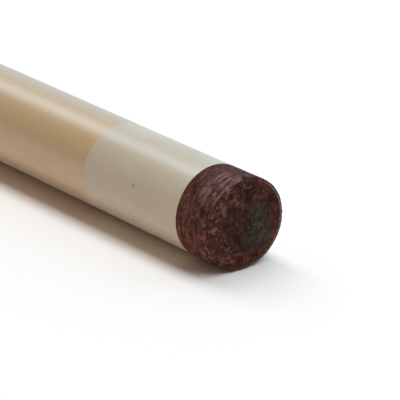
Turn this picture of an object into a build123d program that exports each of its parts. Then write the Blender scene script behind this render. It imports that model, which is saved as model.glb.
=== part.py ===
from build123d import *
import os
from math import sqrt

# A two-piece billiard cue, tip to bumper.
# The cue lies along X. The origin is the centre of the bumper's flat end face, the end from
# which a cue's length is measured, and +X points to the leather tip. +Z is up.
# Every length below is in millimetres.

# Overall sizes
butt_length = 736.6             # bumper face to joint face
shaft_length = 736.6            # joint face to the top of the leather tip
tip_diameter = 13.0             # ferrule and the parallel stroke of the shaft
joint_diameter = 21.4           # at the joint face
butt_diameter = 29.6            # at the rear edge of the butt cap
stroke_length = 230.0           # parallel length of shaft wood behind the ferrule

# Leather tip
tip_height = 7.0
tip_wall_height = 5.9           # straight side wall, below the worn edge
tip_edge_diameter = 12.8        # across the worn edge
tip_edge_rounding = 0.7

# Ferrule
ferrule_length = 20.2
ferrule_cap = 3.0               # closed end that the tip is glued to
ferrule_tenon_diameter = 8.0

# Joint screw, a 3/8 in pin with a shallow right-hand thread of 10 turns to the inch
pin_diameter = 9.525            # over the thread's crests
pin_root_diameter = 7.94
pin_shank_diameter = 9.2        # the plain part inside the butt
pin_pitch = 2.54
pin_turns = 11                  # whole turns from tight to free
pin_crest_width = 0.5           # along the axis
pin_root_width = 1.6            # width of the ridge where it meets the root
pin_depth = 46.0                # joint face to the end that is glued in the forearm
pin_nose = 1.2                  # chamfer on the free end
pin_clearance = 0.06            # radial, in the insert
flank_clearance = 0.07          # along the axis, on each side of the ridge
insert_diameter = 12.0
insert_length = 31.0

# Collars on both sides of the joint, each on a turned tenon
shaft_collar_length = 12.0
butt_collar_length = 25.4
collar_tenon_diameter = 16.6
tenon_recess = 0.5              # the wood stops short of the joint face
joint_gap = 0.05                # between the two joint faces
ring_width = 1.2                # every metal trim ring
ring_gap = 0.05                 # beside the ring that the butt turns against
ring_clearance = 0.06           # radial, inside that ring

# Forearm, its four spliced points and their veneers
point_count = 4
point_length = 201.0            # rear end of the forearm to the sharp end of a point
point_root = 4.0                # distance of the groove's root from the axis, at the rear
veneer_thickness = 0.9

# Handle
wrap_length = 304.8
wrap_thickness = 0.9
front_tenon_diameter = 16.0
front_tenon_length = 9.0
stud_diameter = 7.94            # 5/16 in rod that ties the forearm to the handle
stud_length = 70.0

# Butt end
sleeve_length = 88.0
rear_tenon_diameter = 19.0
cap_length = 26.0
cap_socket = 12.0               # length of the tenon inside the cap
bolt_diameter = 12.7
bolt_length = 70.0
bolt_setback = 4.0              # bolt end to tenon end
bolt_travel = 10.0              # spare bore in front of the bolt
bolt_hex = 7.94                 # key size, across flats
bolt_hex_depth = 8.0
bumper_height = 13.0
bumper_diameter = 27.0
bumper_face_rounding = 3.5
bumper_stem_length = 12.0
bumper_stem_diameter = 12.7

# Fits inside one glued assembly
glue_gap = 0.04                 # radial
end_gap = 0.4                   # at the blind end of a tenon or stud

# Places along X, from the bumper to the tip
x_cap = bumper_height
x_cap_ring = x_cap + cap_length
x_sleeve = x_cap_ring + ring_width
x_sleeve_ring = x_sleeve + sleeve_length
x_wrap = x_sleeve_ring + ring_width
x_forearm_ring = x_wrap + wrap_length
x_forearm = x_forearm_ring + ring_width
x_joint = butt_length
x_butt_collar = x_joint - butt_collar_length
x_joint_ring = x_butt_collar - ring_gap - ring_width
x_forearm_shoulder = x_joint_ring - ring_gap
x_shaft_face = x_joint + joint_gap
x_shaft_ring = x_shaft_face + shaft_collar_length
x_shaft_shoulder = x_shaft_ring + ring_width
x_tip_top = x_joint + shaft_length
x_tip = x_tip_top - tip_height
x_ferrule = x_tip - ferrule_length
x_stroke = x_ferrule - stroke_length

# The outside of the whole cue: (place along X, radius), straight between neighbours
taper = [
    (x_cap, butt_diameter / 2),
    (x_joint, joint_diameter / 2),
    (x_stroke, tip_diameter / 2),
    (x_tip, tip_diameter / 2),
]
pin_reach = pin_turns * pin_pitch


def taper_radius(x):
    """Outside radius of the cue at x."""
    for (x0, r0), (x1, r1) in zip(taper, taper[1:]):
        if x <= x1:
            return r0 + (r1 - r0) * (x - x0) / (x1 - x0)
    return taper[-1][1]


def revolved(outline):
    """The solid swept by a closed outline of (x, radius) points turned about the cue's axis."""
    return revolve(Plane.XZ * make_face(Polyline(*outline, close=True)), Axis.X, 360)


def turned(start, end, under=0.0):
    """A length of the cue's own taper, or of a taper that lies under it."""
    bends = [x for x, _ in taper if start < x < end]
    surface = [(x, taper_radius(x) - under) for x in [start, *bends, end]]
    return revolved([(start, 0), *surface, (end, 0)])


def rod(start, end, diameter, gap=0.0):
    """A plain round rod along the axis, or the bore for it when a gap is given."""
    radius = diameter / 2 + gap
    return revolved([(start, 0), (start, radius), (end, radius), (end, 0)])


def leather_tip():
    """A solid leather cylinder, worn to a low dome with a rounded edge."""
    x_edge = x_tip + tip_wall_height
    edge = tip_edge_diameter / 2
    rise = tip_height - tip_wall_height
    dome_radius = (edge**2 + rise**2) / (2 * rise)
    side = Polyline((x_tip_top, 0), (x_tip, 0), (x_tip, tip_diameter / 2), (x_edge, edge))
    dome = RadiusArc((x_edge, edge), (x_tip_top, 0), dome_radius)
    half = make_face([side, dome])
    rim = half.vertices().sort_by_distance(Vector(x_edge, edge, 0))[0]
    return revolve(Plane.XZ * fillet(rim, tip_edge_rounding), Axis.X, 360)


def ferrule():
    """The pale cap on the shaft, bored from behind for the wooden tenon."""
    bore = rod(x_ferrule, x_tip - ferrule_cap, ferrule_tenon_diameter, glue_gap)
    return turned(x_ferrule, x_tip) - bore


def shaft():
    """Maple, with a tenon for the ferrule and a bored tenon for the collar and the insert."""
    front_tenon = rod(x_ferrule, x_tip - ferrule_cap - end_gap, ferrule_tenon_diameter)
    rear_tenon = rod(x_shaft_face + tenon_recess, x_shaft_shoulder, collar_tenon_diameter)
    bore = rod(x_shaft_face, x_shaft_face + insert_length, insert_diameter, glue_gap)
    return turned(x_shaft_shoulder, x_ferrule) + front_tenon + rear_tenon - bore


def shaft_collar():
    """The dark collar at the joint end of the shaft."""
    bore = rod(x_shaft_face, x_shaft_ring, collar_tenon_diameter, glue_gap)
    return turned(x_shaft_face, x_shaft_ring) - bore


def shaft_ring():
    """The metal ring between the shaft's collar and its wood."""
    bore = rod(x_shaft_ring, x_shaft_shoulder, collar_tenon_diameter, glue_gap)
    return turned(x_shaft_ring, x_shaft_shoulder) - bore


def screw_thread(gap=0.0, flank=0.0):
    """The joint screw's root and ridge, or with gaps the tool that cuts the matching nut.

    Pin and nut start from one place, so their threads are in step when the joint is tight."""
    lead_in = 2 * pin_pitch
    length = insert_length + 2 * lead_in
    root = pin_root_diameter / 2 + gap
    crest = pin_diameter / 2 + gap
    sunk = root / 20                # the ridge starts a little inside the root it joins
    wide = pin_root_width / 2 + flank
    narrow = pin_crest_width / 2 + flank
    corners = [(root - sunk, -wide), (crest, -narrow), (crest, narrow), (root - sunk, wide)]
    section = Plane.XZ * make_face(Polyline(*corners, close=True))
    ridge = sweep(section, path=Helix(pin_pitch, length, root), is_frenet=True)
    core = Cylinder(root, length + 2 * lead_in)
    upright = ridge + Pos(Z=length / 2) * core
    return Plane(origin=(x_joint - lead_in, 0, 0), z_dir=(1, 0, 0)) * upright


def joint_insert():
    """The brass insert that the joint pin screws into."""
    body = rod(x_shaft_face, x_shaft_face + insert_length, insert_diameter)
    return body - screw_thread(pin_clearance, flank_clearance)


def joint_pin():
    """The steel screw that stands out of the butt, with a plain shank in the forearm."""
    x_end = x_joint + pin_reach
    beyond = pin_diameter           # the bar that the thread is cut from is wider than its crests
    nose = pin_diameter / 2 - pin_nose
    corners = [(x_joint, 0), (x_joint, nose + beyond), (x_end - beyond, nose + beyond)]
    bar = revolved([*corners, (x_end, nose), (x_end, 0)])
    shank = rod(x_joint - pin_depth, x_joint, pin_shank_diameter)
    return shank + (screw_thread() & bar)


def butt_collar():
    """The stainless collar at the joint end of the butt."""
    bore = rod(x_butt_collar, x_joint, collar_tenon_diameter, glue_gap)
    return turned(x_butt_collar, x_joint) - bore


def joint_ring():
    """The loose metal ring behind the collar, a running fit on the forearm's tenon."""
    x_end = x_joint_ring + ring_width
    bore = rod(x_joint_ring, x_end, collar_tenon_diameter, ring_clearance)
    return turned(x_joint_ring, x_end) - bore


def rear_socket():
    """The hollow in the back of the forearm for the handle's tenon and the stud."""
    x_deep = x_forearm + front_tenon_length + end_gap
    stud_end = x_forearm + stud_length / 2 + end_gap
    wide = rod(x_forearm, x_deep, front_tenon_diameter, glue_gap)
    return wide + rod(x_forearm, stud_end, stud_diameter, glue_gap)


def point_groove(side, deeper=0.0):
    """One right-angled V groove, whose root climbs to the surface at the sharp end of a point."""
    x_sharp = x_forearm + point_length
    climb = taper_radius(x_sharp) - point_root
    root = point_root - deeper * sqrt(2)
    reach = 2 * butt_diameter
    corners = [(0, root), (reach, root + reach), (-reach, root + reach)]
    flat = Plane(origin=(x_forearm, 0, 0), x_dir=(0, 1, 0), z_dir=(1, 0, 0))
    section = flat * make_face(Polyline(*corners, close=True))
    length = 2 * point_length
    slope = Vector(length, 0, length * climb / point_length)
    groove = extrude(section, amount=slope.length, dir=slope.normalized())
    return Rot(X=side) * groove


def point_angles():
    """The turn of each groove about the axis, starting half way between up and sideways."""
    return [45 + 360 / point_count * i for i in range(point_count)]


def forearm():
    """The maple front of the butt, grooved for its points, with a tenon for the collar."""
    tenon = rod(x_forearm_shoulder, x_joint - tenon_recess, collar_tenon_diameter)
    bore = rod(x_joint - pin_depth - end_gap, x_joint, pin_shank_diameter, glue_gap)
    wood = turned(x_forearm, x_forearm_shoulder) + tenon - bore - rear_socket()
    for angle in point_angles():
        wood -= point_groove(angle, veneer_thickness)
    return wood


def forearm_points():
    """Four dark splices, one in each groove, flush with the forearm's surface."""
    blank = turned(x_forearm, x_forearm_shoulder) - rear_socket()
    return Compound([s for a in point_angles() for s in (blank & point_groove(a)).solids()])


def point_veneers():
    """The thin bright layer between each point and the forearm."""
    blank = turned(x_forearm, x_forearm_shoulder) - rear_socket()
    layers = []
    for angle in point_angles():
        layer = (blank & point_groove(angle, veneer_thickness)) - point_groove(angle)
        layers.extend(layer.solids())
    return Compound(layers)


def forearm_ring():
    """The metal ring between the forearm and the wrap, on the handle's front tenon."""
    bore = rod(x_forearm_ring, x_forearm, front_tenon_diameter, glue_gap)
    return turned(x_forearm_ring, x_forearm) - bore


def handle_stud():
    """The threaded rod that ties the forearm to the handle."""
    return rod(x_forearm - stud_length / 2, x_forearm + stud_length / 2, stud_diameter)


def handle_core():
    """The wood under the wrap, with a short front tenon and a long bored rear tenon."""
    x_tenon_end = x_cap_ring - cap_socket
    x_bore_end = x_tenon_end + bolt_setback + bolt_length + bolt_travel
    body = turned(x_wrap, x_forearm_ring, wrap_thickness + glue_gap)
    front = rod(x_forearm_ring, x_forearm + front_tenon_length, front_tenon_diameter)
    rear = rod(x_tenon_end, x_wrap, rear_tenon_diameter)
    stud_bore_start = x_forearm - stud_length / 2 - end_gap
    stud_bore = rod(stud_bore_start, x_forearm + front_tenon_length, stud_diameter, glue_gap)
    bolt_bore = rod(x_tenon_end, x_bore_end, bolt_diameter, glue_gap)
    return body + front + rear - stud_bore - bolt_bore


def linen_wrap():
    """The wound linen, as one thin sleeve flush with the rings beside it."""
    return turned(x_wrap, x_forearm_ring) - turned(x_wrap, x_forearm_ring, wrap_thickness)


def sleeve_ring():
    """The metal ring between the wrap and the butt sleeve."""
    bore = rod(x_sleeve_ring, x_wrap, rear_tenon_diameter, glue_gap)
    return turned(x_sleeve_ring, x_wrap) - bore


def butt_sleeve():
    """The dark wooden sleeve, glued over the handle's rear tenon."""
    bore = rod(x_sleeve, x_sleeve_ring, rear_tenon_diameter, glue_gap)
    return turned(x_sleeve, x_sleeve_ring) - bore


def cap_ring():
    """The metal ring between the butt sleeve and the cap."""
    bore = rod(x_cap_ring, x_sleeve, rear_tenon_diameter, glue_gap)
    return turned(x_cap_ring, x_sleeve) - bore


def butt_cap():
    """The hard cap, socketed for the handle's tenon and bored through for the bumper's stem."""
    socket = rod(x_cap_ring - cap_socket - end_gap, x_cap_ring, rear_tenon_diameter, glue_gap)
    through = rod(x_cap, x_cap_ring, bumper_stem_diameter, glue_gap)
    return turned(x_cap, x_cap_ring) - socket - through


def weight_bolt():
    """The steel bolt that sets the cue's weight, with a hexagon socket in its rear end."""
    start = x_cap_ring - cap_socket + bolt_setback
    mouth = Plane(origin=(start, 0, 0), z_dir=(1, 0, 0))
    key = RegularPolygon(bolt_hex / 2, 6, major_radius=False)
    return rod(start, start + bolt_length, bolt_diameter) - extrude(mouth * key, bolt_hex_depth)


def bumper():
    """The rubber bumper, a flat-faced pad with a stem pushed into the butt cap."""
    pad = rod(0, bumper_height, bumper_diameter)
    pad = fillet(pad.edges().filter_by(GeomType.CIRCLE).sort_by(Axis.X)[0], bumper_face_rounding)
    return pad + rod(bumper_height, bumper_height + bumper_stem_length, bumper_stem_diameter)


pieces = {
    "leather_tip": leather_tip,
    "ferrule": ferrule,
    "shaft": shaft,
    "shaft_ring": shaft_ring,
    "shaft_collar": shaft_collar,
    "joint_insert": joint_insert,
    "joint_pin": joint_pin,
    "butt_collar": butt_collar,
    "joint_ring": joint_ring,
    "forearm": forearm,
    "forearm_points": forearm_points,
    "point_veneers": point_veneers,
    "forearm_ring": forearm_ring,
    "handle_stud": handle_stud,
    "handle_core": handle_core,
    "linen_wrap": linen_wrap,
    "sleeve_ring": sleeve_ring,
    "butt_sleeve": butt_sleeve,
    "cap_ring": cap_ring,
    "butt_cap": butt_cap,
    "weight_bolt": weight_bolt,
    "bumper": bumper,
}

os.makedirs("parts", exist_ok=True)
for name, make in pieces.items():
    export_step(make(), f"parts/{name}.step")
    print("made", name)
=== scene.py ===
import math
from contextlib import contextmanager
from functools import partial

import bpy
import bmesh
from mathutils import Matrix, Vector, noise


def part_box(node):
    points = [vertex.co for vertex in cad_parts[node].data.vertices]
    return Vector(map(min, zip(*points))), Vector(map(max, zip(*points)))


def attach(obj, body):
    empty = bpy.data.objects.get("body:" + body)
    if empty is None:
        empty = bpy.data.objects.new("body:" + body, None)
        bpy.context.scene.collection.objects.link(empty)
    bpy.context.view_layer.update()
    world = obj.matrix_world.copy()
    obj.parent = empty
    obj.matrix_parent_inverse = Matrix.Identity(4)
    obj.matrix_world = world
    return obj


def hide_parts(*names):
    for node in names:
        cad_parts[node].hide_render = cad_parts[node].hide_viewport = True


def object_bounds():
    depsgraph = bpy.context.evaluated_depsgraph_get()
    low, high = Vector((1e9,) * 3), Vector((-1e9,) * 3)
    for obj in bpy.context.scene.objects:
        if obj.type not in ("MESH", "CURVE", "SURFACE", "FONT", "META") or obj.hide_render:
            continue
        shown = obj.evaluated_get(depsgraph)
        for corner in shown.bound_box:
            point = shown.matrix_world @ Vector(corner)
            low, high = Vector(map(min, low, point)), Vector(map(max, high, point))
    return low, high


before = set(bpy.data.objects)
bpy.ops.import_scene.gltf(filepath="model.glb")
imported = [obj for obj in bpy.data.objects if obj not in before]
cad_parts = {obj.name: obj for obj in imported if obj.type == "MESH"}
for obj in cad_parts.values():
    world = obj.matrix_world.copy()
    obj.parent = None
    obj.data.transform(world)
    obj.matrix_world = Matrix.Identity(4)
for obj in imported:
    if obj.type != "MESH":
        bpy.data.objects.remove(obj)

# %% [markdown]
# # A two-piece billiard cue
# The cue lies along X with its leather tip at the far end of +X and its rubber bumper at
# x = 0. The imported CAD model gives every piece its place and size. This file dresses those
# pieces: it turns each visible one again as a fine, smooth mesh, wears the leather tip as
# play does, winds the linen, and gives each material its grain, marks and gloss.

cad_low, cad_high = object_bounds()
MM = 0.001


def span(node):
    """Where a CAD piece starts and ends along the cue, and its largest radius."""
    low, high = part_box(node)
    return low.x, high.x, max(high.y, high.z)


tip_start, _, tip_radius = span("leather_tip")
ferrule_start = span("ferrule")[0]
cap_start, _, cap_radius = span("butt_cap")
joint_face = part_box("butt_collar")[1].x
joint_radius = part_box("shaft_collar")[1].z
stroke_length = 0.230          # the part behind the ferrule that has no taper
stroke_start = ferrule_start - stroke_length

taper = [
    (cap_start, cap_radius),
    (joint_face, joint_radius),
    (stroke_start, tip_radius),
    (tip_start, tip_radius),
]


def cue_radius(x):
    """Outside radius of the cue at x: straight between the stations of its taper."""
    for (x0, r0), (x1, r1) in zip(taper, taper[1:]):
        if x <= x1:
            return r0 + (r1 - r0) * (x - x0) / (x1 - x0)
    return taper[-1][1]


print("cue", round(cad_high.x, 4), "m long; radius at the tip", round(tip_radius, 5))
print("joint face at", round(joint_face, 4), "with radius", round(joint_radius, 5))

# %% [markdown]
# ## Turning
# Nearly every piece of a cue is turned on a lathe. The CAD meshes hold their true outlines,
# with every bore, shoulder and tenon, but in coarse facets. So the outline is read back by
# cutting a copy of the CAD mesh along the axis, and is spun again with many more facets. A
# modelled outline could be typed in instead, but then it might drift from the CAD sizes.
# A real edge is never perfectly sharp, so `eased` cuts each corner with short chamfers.

# %% The outline of a turned piece
ON_AXIS = 1e-7                 # a smaller radius than this is the axis itself
SAME_SPOT = 1e-6               # corners closer than this are one corner
CORNER = math.radians(25)      # a sharper bend than this is a corner to ease


def section(node):
    """Half outlines of a CAD piece, as (x, radius) points in order round its cut face at Y = 0."""
    work = bmesh.new()
    work.from_mesh(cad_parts[node].data)
    bmesh.ops.remove_doubles(work, verts=work.verts, dist=SAME_SPOT)
    for away in ((0, 1, 0), (0, 0, -1)):
        whole = work.verts[:] + work.edges[:] + work.faces[:]
        bmesh.ops.bisect_plane(work, geom=whole, dist=1e-7, plane_co=(0, 0, 0),
                               plane_no=away, clear_outer=True)
    beside = {}
    for edge in work.edges:
        if len(edge.link_faces) == 1 and all(abs(v.co.y) < SAME_SPOT for v in edge.verts):
            a, b = ((round(v.co.x, 7), round(abs(v.co.z), 7)) for v in edge.verts)
            if a != b:
                beside.setdefault(a, []).append(b)
                beside.setdefault(b, []).append(a)
    work.free()
    chains = []
    while beside:
        ends = [p for p in beside if len(beside[p]) == 1]
        here = min(ends) if ends else min(beside)
        chain = [here]
        while beside.get(here):
            after = beside[here].pop()
            beside[after].remove(here)
            chain.append(after)
            here = after
        beside = {p: near for p, near in beside.items() if near}
        if chain[0] == chain[-1]:
            chain.pop()
        chains.append(straightened(chain))
    return [chain for chain in chains if len(chain) > 2]


def straightened(chain, slack=2e-6):
    """The same closed outline without the points that lie on a straight stretch."""
    kept = list(chain)
    i = 0
    while i < len(kept) and len(kept) > 3:
        a, b, c = Vector(kept[i - 1]), Vector(kept[i]), Vector(kept[(i + 1) % len(kept)])
        run = c - a
        off = abs(run.x * (b.y - a.y) - run.y * (b.x - a.x)) / max(run.length, 1e-9)
        if off < slack and (b - a).dot(c - b) > 0:
            kept.pop(i)
        else:
            i += 1
    return kept


def eased(outline, size):
    """The closed outline with each true corner off the axis cut by two small chamfers."""
    done = []
    for i, point in enumerate(outline):
        here = Vector(point)
        back = Vector(outline[i - 1]) - here
        on = Vector(outline[(i + 1) % len(outline)]) - here
        if here.y < ON_AXIS or back.angle(-on) < CORNER:
            done.append(tuple(here))
            continue
        cut = min(size, back.length / 3, on.length / 3)
        for way, share in ((back, 1.0), (back, 0.35), (on, 0.35), (on, 1.0)):
            done.append(tuple(here + way.normalized() * cut * share))
    return done


print("the ferrule's outline has", len(section("ferrule")[0]), "points")

# %% The lathe
ROUND = 144              # facets round a turned piece


def shown(name, data):
    """A new object in the scene, at the origin."""
    thing = bpy.data.objects.new(name, data)
    bpy.context.scene.collection.objects.link(thing)
    return thing


@contextmanager
def edited(mesh):
    """A mesh opened for editing, and written back at the end."""
    work = bmesh.new()
    work.from_mesh(mesh)
    yield work
    work.to_mesh(mesh)
    work.free()


def tidied(mesh, sharp_degrees):
    """Drops loose edges, turns faces outwards and shades all but the sharp edges smooth."""
    with edited(mesh) as work:
        loose = [edge for edge in work.edges if not edge.link_faces]
        bmesh.ops.delete(work, geom=loose, context="EDGES")
        bmesh.ops.recalc_face_normals(work, faces=work.faces)
    mesh.shade_smooth()
    mesh.set_sharp_from_angle(angle=math.radians(sharp_degrees))


def mesh_object(name, verts, faces):
    """A mesh piece whose faces all point outwards."""
    mesh = bpy.data.meshes.new(name)
    mesh.from_pydata(verts, [], faces)
    tidied(mesh, 32)
    return shown(name, mesh)


def bands(rows):
    """Faces between neighbouring rings of vertex numbers; a ring of one number is a pole."""
    faces = []
    for row, after in zip(rows, rows[1:]):
        for i in range(len(row)):
            j = (i + 1) % len(row)
            corners = list(dict.fromkeys([row[i], row[j], after[j], after[i]]))
            if len(corners) > 2:
                faces.append(corners)
    return faces


def polar(x, radius, angle):
    """A point at a radius and an angle round the cue."""
    return x, radius * math.cos(angle), radius * math.sin(angle)


def turned(name, outlines, around=ROUND):
    """Spins closed outlines of (x, radius) points about the cue's axis."""
    verts, faces = [], []
    for outline in outlines:
        rows = []
        for x, radius in outline:
            if radius < ON_AXIS:
                rows.append([len(verts)] * around)
                verts.append((x, 0, 0))
                continue
            rows.append(range(len(verts), len(verts) + around))
            verts += [polar(x, radius, math.tau * i / around) for i in range(around)]
        faces += bands(rows + rows[:1])
    return mesh_object(name, verts, faces)


def settle(piece, body, slot, *nodes):
    """Attaches a finished piece to its body and hides the CAD nodes it stands for; slot is not used."""
    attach(piece, body)
    if nodes:
        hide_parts(*nodes)
    print(piece.name, len(piece.data.polygons), "faces, rides on", body)
    return piece

# %% [markdown]
# ## Shared effects
# A finish is more than a colour. Four effects are used by several materials, so each is a
# node group with named inputs: long wood grain, fine turning lines, soft smudges from
# hands and cloth, and small specks. Each group puts out masks or colours only. The
# Principled shader stays in the material, where its fixed values sit on its own sockets.

# %% Node helpers
def node_group(name, inputs, outputs=(("Mask", "Float"),)):
    """An empty shader group that takes a vector and more named inputs, with their defaults."""
    tree = bpy.data.node_groups.new(name, "ShaderNodeTree")
    tree.interface.new_socket("Vector", in_out="INPUT", socket_type="NodeSocketVector")
    for label, value in inputs.items():
        kind = "NodeSocketColor" if isinstance(value, tuple) else "NodeSocketFloat"
        socket = tree.interface.new_socket(label, in_out="INPUT", socket_type=kind)
        socket.default_value = value
    for label, kind in outputs:
        tree.interface.new_socket(label, in_out="OUTPUT", socket_type="NodeSocket" + kind)
    return tree, tree.nodes.new("NodeGroupInput").outputs, tree.nodes.new("NodeGroupOutput")


def put(socket, value):
    """Links a socket or sets it; None leaves it as it is, and a colour gets its alpha."""
    if isinstance(value, bpy.types.NodeSocket):
        socket.id_data.links.new(value, socket)
    elif value is not None:
        socket.default_value = (*value, 1.0) if socket.type == "RGBA" else value


def fill(step, **values):
    """Sets or links a node's inputs by name, with underscores for the spaces."""
    for label, value in values.items():
        put(step.inputs[label.replace("_", " ")], value)
    return step


def linked(tree, kind, **values):
    """A new node with its inputs set or linked."""
    return fill(tree.nodes.new(kind), **values)


def math_node(operation, *values, clamp=False):
    """One math step on sockets and plain numbers, in the tree that the sockets are in."""
    tree = next(v.id_data for v in values if isinstance(v, bpy.types.NodeSocket))
    step = tree.nodes.new("ShaderNodeMath")
    step.operation = operation
    step.use_clamp = clamp
    for socket, value in zip(step.inputs, values):
        put(socket, value)
    return step.outputs[0]


plus, minus, times, over, times_plus = (
    partial(math_node, operation)
    for operation in ("ADD", "SUBTRACT", "MULTIPLY", "DIVIDE", "MULTIPLY_ADD")
)
power = partial(math_node, "POWER")
less = partial(math_node, "LESS_THAN")

# %% Patterns and colours
def scaled(vector, scale):
    """A vector stretched by three factors, for a pattern that is longer one way."""
    return linked(vector.id_data, "ShaderNodeMapping", Vector=vector, Scale=scale).outputs[0]


def noise_node(vector, scale, detail=4.0, rough=0.5, warp=0.0):
    """Soft noise, 0 to 1."""
    return linked(vector.id_data, "ShaderNodeTexNoise", Vector=vector, Scale=scale,
                  Detail=detail, Roughness=rough, Distortion=warp).outputs["Fac"]


def between(value, low, high):
    """Maps low..high to 0..1 and clamps it."""
    return linked(value.id_data, "ShaderNodeMapRange", Value=value,
                  From_Min=low, From_Max=high).outputs["Result"]


def distance_from(where, place):
    """How far each spot of a surface is from a place, in metres."""
    step = linked(where.id_data, "ShaderNodeVectorMath", Vector=where)
    step.operation = "DISTANCE"
    put(step.inputs[1], place)
    return step.outputs["Value"]


def mixed(share, a, b):
    """A colour mix, by a share from 0 to 1; a and b are colours or sockets."""
    step = share.id_data.nodes.new("ShaderNodeMix")
    step.data_type = "RGBA"
    for number, value in ((0, share), (6, a), (7, b)):
        put(step.inputs[number], value)
    return step.outputs[2]


def placed(group, where, **values):
    """A shared effect placed in a material, with its own values; gives its first output."""
    step = where.id_data.nodes.new("ShaderNodeGroup")
    step.node_tree = group
    return fill(step, Vector=where, **values).outputs[0]


print("ready: sums, patterns, mixes and placed effects")

# %% Wood grain
def make_wood_grain():
    """Long growth lines, short dark pores and a slow drift of tone, all along X."""
    tree, given, made = node_group(
        "wood grain",
        {"Pale": (0.7, 0.5, 0.3, 1), "Dark": (0.4, 0.25, 0.12, 1), "Pore": (0.2, 0.1, 0.05, 1),
         "Lines": 0.5, "Pores": 0.3},
        [("Color", "Color"), ("Height", "Float")])
    vector = given["Vector"]
    broad = noise_node(scaled(vector, (9, 170, 170)), 1.0, 5, 0.55, 0.4)
    fine = noise_node(scaled(vector, (30, 1100, 1100)), 1.0, 4, 0.6)
    tone = times_plus(fine, 0.45, times(broad, 0.65))
    tone = times(between(tone, 0.38, 0.72), given["Lines"])
    pore = noise_node(scaled(vector, (260, 3600, 3600)), 1.0, 2, 0.5)
    pore = times(between(pore, 0.66, 0.74), given["Pores"])
    wood = mixed(pore, mixed(tone, given["Pale"], given["Dark"]), given["Pore"])
    fill(made, Color=wood, Height=minus(tone, pore))
    return tree


wood_grain = make_wood_grain()
print("made the group", wood_grain.name)

# %% Turning lines, smudges and specks
def make_turning_lines():
    """Fine rings left by a lathe tool or abrasive paper, broken up round the piece."""
    patches = 160          # how closely a ring comes and goes round the piece, per metre
    tree, given, made = node_group("turning lines", {"Scale": 9000.0})
    x, y, z = linked(tree, "ShaderNodeSeparateXYZ", Vector=given["Vector"]).outputs
    spread = linked(tree, "ShaderNodeCombineXYZ", X=times(x, given["Scale"]),
                    Y=times(y, patches), Z=times(z, patches))
    lines = noise_node(spread.outputs[0], 1.0, 3, 0.65)
    fill(made, Mask=between(lines, 0.3, 0.7))
    return tree


def make_smudges():
    """Soft clouded patches that change how dull a polished surface looks."""
    tree, given, made = node_group("smudges", {"Amount": 1.0})
    cloud = noise_node(scaled(given["Vector"], (90, 160, 160)), 1.0, 5, 0.6, 0.6)
    fill(made, Mask=times(between(cloud, 0.35, 0.75), given["Amount"]))
    return tree


def make_specks():
    """Small separate dots, such as dust in a varnish or grit in leather."""
    tree, given, made = node_group("specks", {"Scale": 1500.0, "Density": 0.3})
    cells = linked(tree, "ShaderNodeTexVoronoi", Vector=given["Vector"], Scale=given["Scale"])
    dot = between(cells.outputs["Distance"], 0.42, 0.18)
    lot = linked(tree, "ShaderNodeSeparateColor", Color=cells.outputs["Color"]).outputs[0]
    fill(made, Mask=times(dot, less(lot, given["Density"])))
    return tree


turning_lines = make_turning_lines()
smudges = make_smudges()
specks = make_specks()
print("made the groups", turning_lines.name, smudges.name, specks.name)

# %% [markdown]
# ## Finishes
# Each material starts the same way: a Principled shader and the object's own coordinates,
# so patterns stay fixed to the cue when it moves. What differs is in the functions below.

# %% A material to start from
BLOOM = {"Sheen_Roughness": 0.3, "Sheen_Tint": (0.66, 0.82, 1.0)}    # the cool haze of handled varnish


def new_finish(name, **fixed):
    """A material, its Principled shader with its fixed values, and its object coordinates."""
    finish = bpy.data.materials.new(name)
    finish.use_nodes = True
    tree = finish.node_tree
    shader = fill(tree.nodes["Principled BSDF"], **fixed)
    return finish, shader, tree.nodes.new("ShaderNodeTexCoord").outputs["Object"]


def raise_surface(shader, height, distance, strength=1.0):
    """Bump of a real depth, in metres."""
    bump = linked(shader.id_data, "ShaderNodeBump", Height=height, Distance=distance,
                  Strength=strength)
    fill(shader, Normal=bump.outputs[0])


def vary_roughness(shader, mask, low, high):
    """Roughness between two values, by a mask."""
    fill(shader, Roughness=times_plus(mask, high - low, low))


def smudge_gloss(shader, where, low, high):
    """Roughness between two values, duller in soft patches."""
    vary_roughness(shader, placed(smudges, where, Amount=1.0), low, high)


def stained(colour, mask, strength, stain):
    """A colour with a stain over it where a mask is, at most as strong as given."""
    return mixed(times(mask, strength), colour, stain)


print("each finish starts with a shader and its object coordinates")

# %% [markdown]
# ### Maple, ebony and rosewood
# Hard maple is nearly white with faint long lines, and its varnish turns it honey. The
# forearm is curly maple, so slow waves of light and dark run across its grain. Points are
# ebony, almost black, and the butt sleeve is rosewood with strong dark lines.

# %% Wooden finishes
def varnished_wood(name, pale, dark, pore, lines, pores, roughness, coat=0.8, gloss=0.15,
                   curl=0.0, specular=0.5, haze=0.0):
    """Wood under a clear finish; curl adds the waves of figured maple, haze a worn bloom."""
    finish, shader, where = new_finish(name, Coat_Weight=coat, Coat_Roughness=gloss,
                                       Specular_IOR_Level=specular, Sheen_Weight=haze, **BLOOM)
    colour = placed(wood_grain, where, Pale=pale, Dark=dark, Pore=pore, Lines=lines, Pores=pores)
    height = colour.node.outputs["Height"]
    if curl:
        waves = noise_node(scaled(where, (210, 42, 42)), 1.0, 2, 0.4, 0.8)
        colour = stained(colour, between(waves, 0.42, 0.62), curl, dark)
    fill(shader, Base_Color=colour)
    smudge_gloss(shader, where, roughness, roughness + 0.08)
    raise_surface(shader, height, 0.00002, 0.35)
    return finish


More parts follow.
